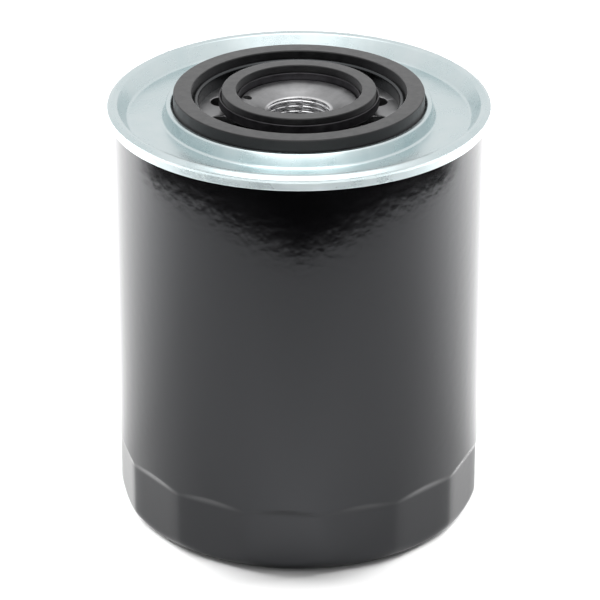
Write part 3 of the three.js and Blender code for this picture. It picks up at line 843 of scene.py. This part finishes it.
class MakeRetainer(bpy.types.Operator):
    """Builds the pressed ring that carries the small sealing ring"""

    bl_idname = "oil_filter.retainer"
    bl_label = "Gasket retainer"

    def execute(self, context):
        inner, outer, foot, top = reach("inner_gasket_retainer")
        gasket_foot = reach("inner_gasket")[2]
        sheet, clearance, stem_inset, stem_wall, inner_drop = 0.55, 0.3, 1.7, 0.6, 0.4
        floor_top = gasket_foot - clearance
        floor = floor_top - sheet
        stem = inner + stem_inset
        section = rounded(
            [
                (inner, floor, 0.3),
                (stem, floor),
                (stem, foot, 0.15),
                (stem + stem_wall, foot, 0.15),
                (stem + stem_wall, floor, 0.2),
                (outer, floor, 0.5),
                (outer, top, 0.2),
                (outer - sheet, top, 0.2),
                (outer - sheet, floor_top, 0.2),
                (inner + sheet, floor_top, 0.2),
                (inner + sheet, top - inner_drop, 0.2),
                (inner, top - inner_drop, 0.2),
            ]
        )
        piece("sealing_ring_retainer", turned(section), "dark_steel", node="inner_gasket_retainer")
        return {"FINISHED"}


class MakeBasePlate(bpy.types.Operator):
    """Builds the threaded base plate with its bowl, inlet holes and bleed hole"""

    bl_idname = "oil_filter.base_plate"
    bl_label = "Base plate"

    def execute(self, context):
        s = Sizes(context.scene.filter_plate)
        _, outer, foot, high = reach("base_plate")
        clearance, shoulder_width, thickness, boss_wall = 0.3, 1.7, 6, 3.4
        shoulder_drop, face_drop, mouth_drop, edge_drop = 0.75, 2.6, 2.35, 2.1
        hub = reach("inner_gasket_retainer")[0] - clearance
        shoulder = hub + shoulder_width
        shoulder_top, top, mouth_height = high - shoulder_drop, high - face_drop, high - mouth_drop
        outer_top, under = top - edge_drop, top - thickness
        step, step_slope = 36.65, 1.2  # where the face drops towards the plate's edge
        lead_width, lead_in, hub_edge = 0.35, 0.15, 0.5
        mouth = s.thread_radius + lead_width
        thread_turns, rows_to_a_turn, mouth_edge = 7.5, 14, 0.06
        thread_top = mouth_height - s.thread_depth
        thread_foot = thread_top - thread_turns * s.thread_pitch
        crest_half = 3 / 8 * s.thread_pitch
        root_half = crest_half - s.thread_depth * math.tan(math.pi / 6)

        def place(angle, r, z):
            """Brings a point of the bore out to the thread's groove at its angle."""
            if r > mouth - 0.01:
                return r, z
            phase = (z - thread_foot) / s.thread_pitch - (angle + s.thread_turn) / (2 * math.pi)
            off = s.thread_pitch * abs(phase - round(phase))
            depth = min(max((crest_half - off) / (crest_half - root_half), 0), 1)
            lead = min(max((mouth_height - z) / lead_in, 0), 1)
            return max(r, s.thread_radius + s.thread_depth * depth * lead), z

        bowl_steps, bowl_swell = 15, 1.15
        bowl_rise = high - mouth_height
        bowl_width = hub - hub_edge - mouth
        bowl = []
        for k in range(1, bowl_steps):
            share = 1 - k / bowl_steps
            rise = bowl_rise * math.sin(share * math.pi / 2) ** bowl_swell
            bowl.append((mouth + share * bowl_width, mouth_height + rise))
        boss = s.thread_radius + boss_wall
        body = rounded(
            [
                (boss - 1, foot),
                (boss, foot, 0.5),
                (boss, under, 0.8),
                (outer, under, 0.4),
                (outer, outer_top, 0.4),
                (step + step_slope, outer_top, 0.4),
                (step, top, 0.5),
                (shoulder, top, 0.3),
                (shoulder, shoulder_top, 0.3),
                (hub, shoulder_top, 0.2),
                (hub, high, 0.2),
                (hub - hub_edge, high),
            ]
        )
        levels = round((mouth_height - foot) / (s.thread_pitch / rows_to_a_turn))
        bore = []
        for k in range(levels + 1):
            height = mouth_height - mouth_edge + (foot - mouth_height + mouth_edge) * k / levels
            bore.append((s.thread_radius, height))
        section = [*body, *bowl, (mouth, mouth_height), *bore]

        past = 1  # how far a cutter runs past the faces that it cuts
        wide = s.inlet_radius + s.chamfer + past
        outline = [(0, under - past), (wide, under - past), (s.inlet_radius, under + s.chamfer)]
        outline += [(s.inlet_radius, top - s.chamfer), (wide, top + past), (0, top + past)]
        cutters = []
        for i in range(s.inlet_count):
            angle = (i + 0.5) * 2 * math.pi / s.inlet_count
            cutters.append(upright_pin(s.inlet_circle, angle, outline))
        r = s.bleed_radius
        outline = [(0, under - past), (r, under - past), (r, high + past), (0, high + past)]
        cutters.append(upright_pin(s.bleed_circle, s.bleed_turn, outline))
        form = without(turned(section, SIDES, place), cutters)
        piece("threaded_plate", form, "plain_steel", node="base_plate")
        return {"FINISHED"}


class MakeFlap(bpy.types.Operator):
    """Builds the rubber flap that keeps oil from draining back through the inlet holes"""

    bl_idname = "oil_filter.flap"
    bl_label = "Anti-drain flap"

    def execute(self, context):
        inner, outer, foot, top = reach("anti_drain_flap")
        hub_width, lip_rise, lip_width, web_inset, web_rise = 1.9, 1.4, 1, 0.6, 1.6
        hub = inner + hub_width
        section = rounded(
            [
                (inner, foot, 0.2),
                (hub, foot, 0.3),
                (outer, foot + lip_rise, 0.5),
                (outer, top, 0.3),
                (outer - lip_width, top, 0.3),
                (hub + web_inset, foot + web_rise, 0.5),
                (hub, top, 0.3),
                (inner, top, 0.2),
            ]
        )
        ends = [(0, 0, foot * MM), (0, 0, top * MM)]
        blend = ("filter", "anti_drain_valve", *ends)
        piece("drain_back_flap", turned(section), "valve_rubber", node="anti_drain_flap", blend=blend)
        return {"FINISHED"}


class MakeEndCaps(bpy.types.Operator):
    """Builds the elements' pressed end caps"""

    bl_idname = "oil_filter.end_caps"
    bl_label = "End caps"

    def execute(self, context):
        s = Sizes(context.scene.filter_elements)
        for name in CAPS:
            inner, outer, foot, top = reach(f"{name}_cap")
            back, rim, way = (top, foot, -1) if "upper" in name else (foot, top, 1)
            face = back + way * s.sheet
            bend, hem = 0.9, s.sheet / 3
            section = [(inner, back, bend), (outer, back, bend), (outer, rim, hem)]
            section += [(outer - s.sheet, rim, hem), (outer - s.sheet, face, hem)]
            if name == "main_lower":
                section[0] = (inner, back, hem)
                section.append((inner, face, hem))
            else:
                section += [(inner + s.sheet, face, hem), (inner + s.sheet, rim, hem), (inner, rim, hem)]
            piece(f"{name}_end_cap", turned(rounded(section)), "zinc_plate", node=f"{name}_cap")
        return {"FINISHED"}


class MakePotting(bpy.types.Operator):
    """Builds the adhesive that holds the paper in the end caps"""

    bl_idname = "oil_filter.potting"
    bl_label = "Potting"

    def execute(self, context):
        meniscus = 0.35
        for name in CAPS:
            form = ring(*reach(f"{name}_potting"), meniscus)
            piece(f"{name}_adhesive", form, "cap_adhesive", node=f"{name}_potting")
        return {"FINISHED"}


class MakePapers(bpy.types.Operator):
    """Builds the pleated papers of the two elements"""

    bl_idname = "oil_filter.papers"
    bl_label = "Pleated papers"

    def execute(self, context):
        s = Sizes(context.scene.filter_elements)
        for name, pleats in (("fine", s.fine_pleats), ("main", s.main_pleats)):
            node = f"{name}_pleated_paper"
            form = pleated(*reach(node), pleats, s.paper)
            piece(f"{name}_element_paper", form, "filter_paper", node=node)
        return {"FINISHED"}


class MakeTubes(bpy.types.Operator):
    """Builds the perforated centre tubes, the outlet tube and the seal between the elements"""

    bl_idname = "oil_filter.tubes"
    bl_label = "Tubes"

    def execute(self, context):
        s = Sizes(context.scene.filter_elements)
        past, tube_edge, pipe_edge, seal_edge = 1, 0.15, 0.2, 0.7
        for name, rows in (("fine", s.fine_rows), ("main", s.main_rows)):
            inner, outer, foot, top = reach(f"{name}_centre_tube")
            pins = []
            for row in range(rows):
                height = foot + (row + 0.5) * (top - foot) / rows
                for k in range(s.row_holes // 2):
                    angle = (k + 0.5 * (row % 2)) * 2 * math.pi / s.row_holes
                    pins.append(cross_pin(s.hole_radius, outer + past, height, angle))
            form = without(ring(inner, outer, foot, top, tube_edge), pins)
            piece(f"{name}_element_tube", form, "plain_steel", node=f"{name}_centre_tube")
        piece("outlet_pipe", ring(*reach("outlet_tube"), pipe_edge), "plain_steel", node="outlet_tube")
        seal = ring(*reach("between_elements_seal"), seal_edge)
        piece("element_seal", seal, "valve_rubber", node="between_elements_seal")
        return {"FINISHED"}


class MakeReliefValve(bpy.types.Operator):
    """Builds the relief valve: seat, disc, spring and cage"""

    bl_idname = "oil_filter.relief_valve"
    bl_label = "Relief valve"

    def execute(self, context):
        s = Sizes(context.scene.filter_elements)
        port, flange, under, spigot_top = reach("relief_valve_seat")
        _, disc_radius, disc_foot, boss_top = reach("relief_valve_disc")
        vent, cage_outer, cage_foot, cage_top = reach("relief_valve_cage")
        coil_inner, coil_outer, coil_foot, coil_head = reach("relief_valve_spring")
        seat_top = cage_foot - s.clearance
        nozzle_top = disc_foot - s.clearance
        nozzle_wall, spigot_wall, boss_play, cage_wall = 1.2, 1.1, 0.5, 0.6
        spigot, nozzle = cage_outer + s.clearance, port + nozzle_wall
        section = rounded(
            [
                (port, under, 0.4),
                (flange, under, 0.3),
                (flange, seat_top, 0.3),
                (spigot + spigot_wall, seat_top, 0.3),
                (spigot + spigot_wall, spigot_top, 0.3),
                (spigot, spigot_top, 0.3),
                (spigot, seat_top, 0.2),
                (nozzle, seat_top, 0.3),
                (nozzle, nozzle_top, 0.25),
                (port, nozzle_top, 0.4),
            ]
        )
        piece("valve_seat", turned(section), "plain_steel", node="relief_valve_seat")

        plate_top = disc_foot + s.disc
        boss = coil_inner - boss_play
        section = [(0, disc_foot), (disc_radius, disc_foot, 0.25), (disc_radius, plate_top, 0.25)]
        section += [(boss, plate_top, 0.3), (boss, boss_top, 0.5), (0, boss_top)]
        disc = turned(rounded(section))
        piece("valve_disc", disc, "dark_steel", node="relief_valve_disc", body="relief_valve")

        cage_inner, ceiling = cage_outer - cage_wall, cage_top - s.sheet
        section = [(cage_inner, cage_foot, 0.15), (cage_outer, cage_foot, 0.15), (cage_outer, cage_top, 0.9)]
        section += [(vent, cage_top, 0.2), (vent, ceiling, 0.2), (cage_inner, ceiling, 0.4)]
        foot_band, head_band, half_width, past = 3.5, 4, 3, 1
        low, high = cage_foot + foot_band, cage_top - head_band
        across = (0, math.pi / 2)
        slots = [slot_cutter(cage_outer + past, half_width, low, high, angle) for angle in across]
        piece("valve_cage", without(turned(rounded(section)), slots), "zinc_plate", node="relief_valve_cage")

        foot, head = coil_foot + s.valve_wire / 2, coil_head - s.valve_wire / 2
        radius = coil_outer - s.valve_wire / 2
        end_pitch = 1.15 * s.valve_wire
        spots = coil_spots(radius, radius, foot, head, s.valve_coils, end_pitch)
        wire = swept_wire(s.valve_wire, spots)
        ends = ((0, 0, foot * MM), (0, 0, head * MM))
        blend = ("relief_valve", "filter", *ends)
        piece("valve_spring", wire, "spring_steel", node="relief_valve_spring", blend=blend)
        return {"FINISHED"}


class MakeSupport(bpy.types.Operator):
    """Builds the conical spring under the elements, and its seat"""

    bl_idname = "oil_filter.support"
    bl_label = "Support spring"

    def execute(self, context):
        s = Sizes(context.scene.filter_elements)
        inner, outer, foot, top = reach("support_spring_seat")
        under = top - s.sheet
        section = [(inner, under, 0.2), (outer - s.sheet, under, 0.3), (outer - s.sheet, foot, 0.2)]
        section += [(outer, foot, 0.2), (outer, top, 0.9), (inner, top, 0.2)]
        piece("spring_seat", turned(rounded(section)), "zinc_plate", node="support_spring_seat")

        low, high = reach("support_spring")[2:]
        half = s.support_wire / 2
        radii = (s.support_foot - half, s.support_head - half)
        end_pitch = 1.1 * s.support_wire
        spots = coil_spots(*radii, low + half, high - half, s.support_coils, end_pitch)
        piece("stack_spring", swept_wire(s.support_wire, spots), "spring_steel", node="support_spring")
        return {"FINISHED"}


# ---- Stage ----


def grey(level):
    return (level, level, level, 1)


def floor_paper():
    """White paper that glows with painted light, rising from 0.4 m out from the filter to full strength at
    0.8 m.
    """
    look = Look("floor_paper", Roughness=0.9, Emission_Strength=1.0)
    look.feed("Base Color", look.mixed(look.noise(0.2, 2), grey(0.885), grey(0.9)))
    # painted light: the paper glows more the further it lies from the axis
    sweep = look.spread(look.radius(), 0.4, 0.8)
    look.feed("Emission Color", look.mixed(sweep, grey(0), grey(0.62)))
    return look.material


def curved_card(radii, half_turn, widening, steps=56):
    """A flat ring sector in front of the filter; its inner edge moves out towards its ends."""
    height = 0.001
    widest_turn = math.radians(55)
    form = bmesh.new()
    rows = []
    for k in range(steps + 1):
        turn = math.radians(half_turn) * (2 * k / steps - 1)
        inner = radii[0] + widening * min(abs(turn) / widest_turn, 1)
        row = []
        for radius in (inner, inner + (radii[1] - radii[0]) / 2, radii[1] + widening):
            row.append(form.verts.new((radius * math.sin(turn), -radius * math.cos(turn), height)))
        rows.append(row)
    for first, second in zip(rows, rows[1:]):
        for k in range(len(first) - 1):
            form.faces.new((first[k], second[k], second[k + 1], first[k + 1]))
    return form


def curved_panel(radius, half_turn, rises, steps=24):
    """A patch of a sphere in front of the filter, between two elevations in degrees."""
    form = bmesh.new()
    rows = []
    for k in range(steps + 1):
        turn = math.radians(half_turn) * (2 * k / steps - 1)
        row = []
        for rise in (math.radians(degrees) for degrees in rises):
            out = radius * math.cos(rise)
            row.append(form.verts.new((out * math.sin(turn), -out * math.cos(turn), radius * math.sin(rise))))
        rows.append(row)
    for first, second in zip(rows, rows[1:]):
        form.faces.new((first[0], second[0], second[1], first[1]))
    return form


def glowing_panel(level):
    """Even white light, for reflections only."""
    look = Look("panel_white", Base_Color=grey(0), Specular_IOR_Level=0.0, Emission_Strength=level)
    look.feed("Emission Color", look.mixed(look.noise(0.5, 1), grey(0.97), grey(1)))
    return look.material


def fading_black():
    """Black that fades away towards the card's outer edge and its ends."""
    look = Look("card_black", Base_Color=grey(0), Roughness=1.0, Specular_IOR_Level=0.0)
    outer = look.spread(look.radius(), 0.40, 0.33)
    ends = look.spread(look.parts()[1], 0.10, 0.0)
    look.feed("Alpha", outer * ends)
    return look.material


def area_light(name, place, target, side, power):
    """A square soft light that faces its target."""
    light = bpy.data.lights.new(name, "AREA")
    light.shape, light.size, light.size_y = "RECTANGLE", side, side
    light.energy = power
    holder = bpy.data.objects.new(name, light)
    holder.location = place
    holder.rotation_euler = (Vector(target) - Vector(place)).to_track_quat("-Z", "Y").to_euler()
    bpy.context.scene.collection.objects.link(holder)
    return holder


def studio_world(reflected, diffuse):
    """White surroundings, with one strength for reflections and another for diffuse light."""
    world = bpy.data.worlds.new("Studio")
    world.use_nodes = True
    tree = world.node_tree
    background = tree.nodes["Background"]
    background.inputs["Color"].default_value = grey(1)
    path = tree.nodes.new("ShaderNodeLightPath")
    level = tree.nodes.new("ShaderNodeMapRange")
    level.inputs["To Min"].default_value, level.inputs["To Max"].default_value = reflected, diffuse
    tree.links.new(path.outputs["Is Diffuse Ray"], level.inputs["Value"])
    tree.links.new(level.outputs[0], background.inputs["Strength"])
    return world


def reflected_only(name, form, material):
    """A stage piece that shows in reflections and nowhere else."""
    made = new_object(name, form)
    made.data.materials.append(material)
    made.visible_camera = made.visible_diffuse = made.visible_shadow = False


class MakeStage(bpy.types.Operator):
    """Builds the pale floor, the soft lights, the dark card, the white panel and the camera"""

    bl_idname = "oil_filter.stage"
    bl_label = "Stage"

    def execute(self, context):
        scene = context.scene
        reach_out, under, over = 3000, -4.0, -0.02  # the floor's radius, underside and top, in millimetres
        section = [(0, under), (reach_out, under), (reach_out, over), (0, over)]
        floor = new_object("floor", turned(section, 96))
        floor.data.materials.append(floor_paper())
        card = curved_card(radii=(0.261, 0.40), half_turn=112, widening=0.028)
        reflected_only("front_card", card, fading_black())

        scene.world = studio_world(reflected=1.0, diffuse=0.4)
        overhead = area_light("overhead_light", (0, -0.2, 1.15), (0, 0, 0), 1.0, 4.5)
        overhead.visible_diffuse = False
        reflected_only("front_panel", curved_panel(1.5, 35, (2, 40)), glowing_panel(3.0))
        for way, name in ((-1, "left_light"), (1, "right_light")):
            light = area_light(name, (way * 0.38, 0.16, 0.30), (way * 0.16, 0.04, 0), 0.3, 4.6)
            light.visible_glossy = False

        scene.view_settings.view_transform = "Standard"
        scene.view_settings.look = "None"
        lens = bpy.data.cameras.new("camera")
        lens.lens, lens.sensor_width, lens.shift_x = 197, 36, 1 / 600
        looking_down = 26.17  # degrees
        camera = bpy.data.objects.new("camera", lens)
        camera.location = (0, -0.8537, 0.4806)
        camera.rotation_euler = (math.radians(90 - looking_down), 0, 0)
        scene.collection.objects.link(camera)
        scene.camera = camera
        return {"FINISHED"}


OPERATORS = (
    MakeCan,
    MakeLid,
    MakeSealant,
    MakeGaskets,
    MakeRetainer,
    MakeBasePlate,
    MakeFlap,
    MakeEndCaps,
    MakePotting,
    MakePapers,
    MakeTubes,
    MakeReliefValve,
    MakeSupport,
    MakeStage,
)


class FilterPanel(bpy.types.Panel):
    """Lists the steps that build the filter"""

    bl_idname = "VIEW3D_PT_oil_filter"
    bl_label = "Oil Filter"
    bl_space_type = "VIEW_3D"
    bl_region_type = "UI"
    bl_category = "Oil Filter"

    def draw(self, context):
        for step in OPERATORS:
            self.layout.operator(step.bl_idname)
        for key in GROUPS:
            box = self.layout.box()
            group = getattr(context.scene, key)
            for name in group.bl_rna.properties.keys():
                if name not in ("rna_type", "name"):
                    box.prop(group, name)


def register():
    for group in GROUPS.values():
        bpy.utils.register_class(group)
    for key, group in GROUPS.items():
        setattr(bpy.types.Scene, key, PointerProperty(type=group))
    for step in OPERATORS:
        bpy.utils.register_class(step)
    bpy.utils.register_class(FilterPanel)


def unregister():
    bpy.utils.unregister_class(FilterPanel)
    for step in reversed(OPERATORS):
        bpy.utils.unregister_class(step)
    for key, group in GROUPS.items():
        delattr(bpy.types.Scene, key)
        bpy.utils.unregister_class(group)


def main():
    register()
    for step in OPERATORS:
        group, name = step.bl_idname.split(".")
        getattr(getattr(bpy.ops, group), name)()


if __name__ == "__main__":
    main()
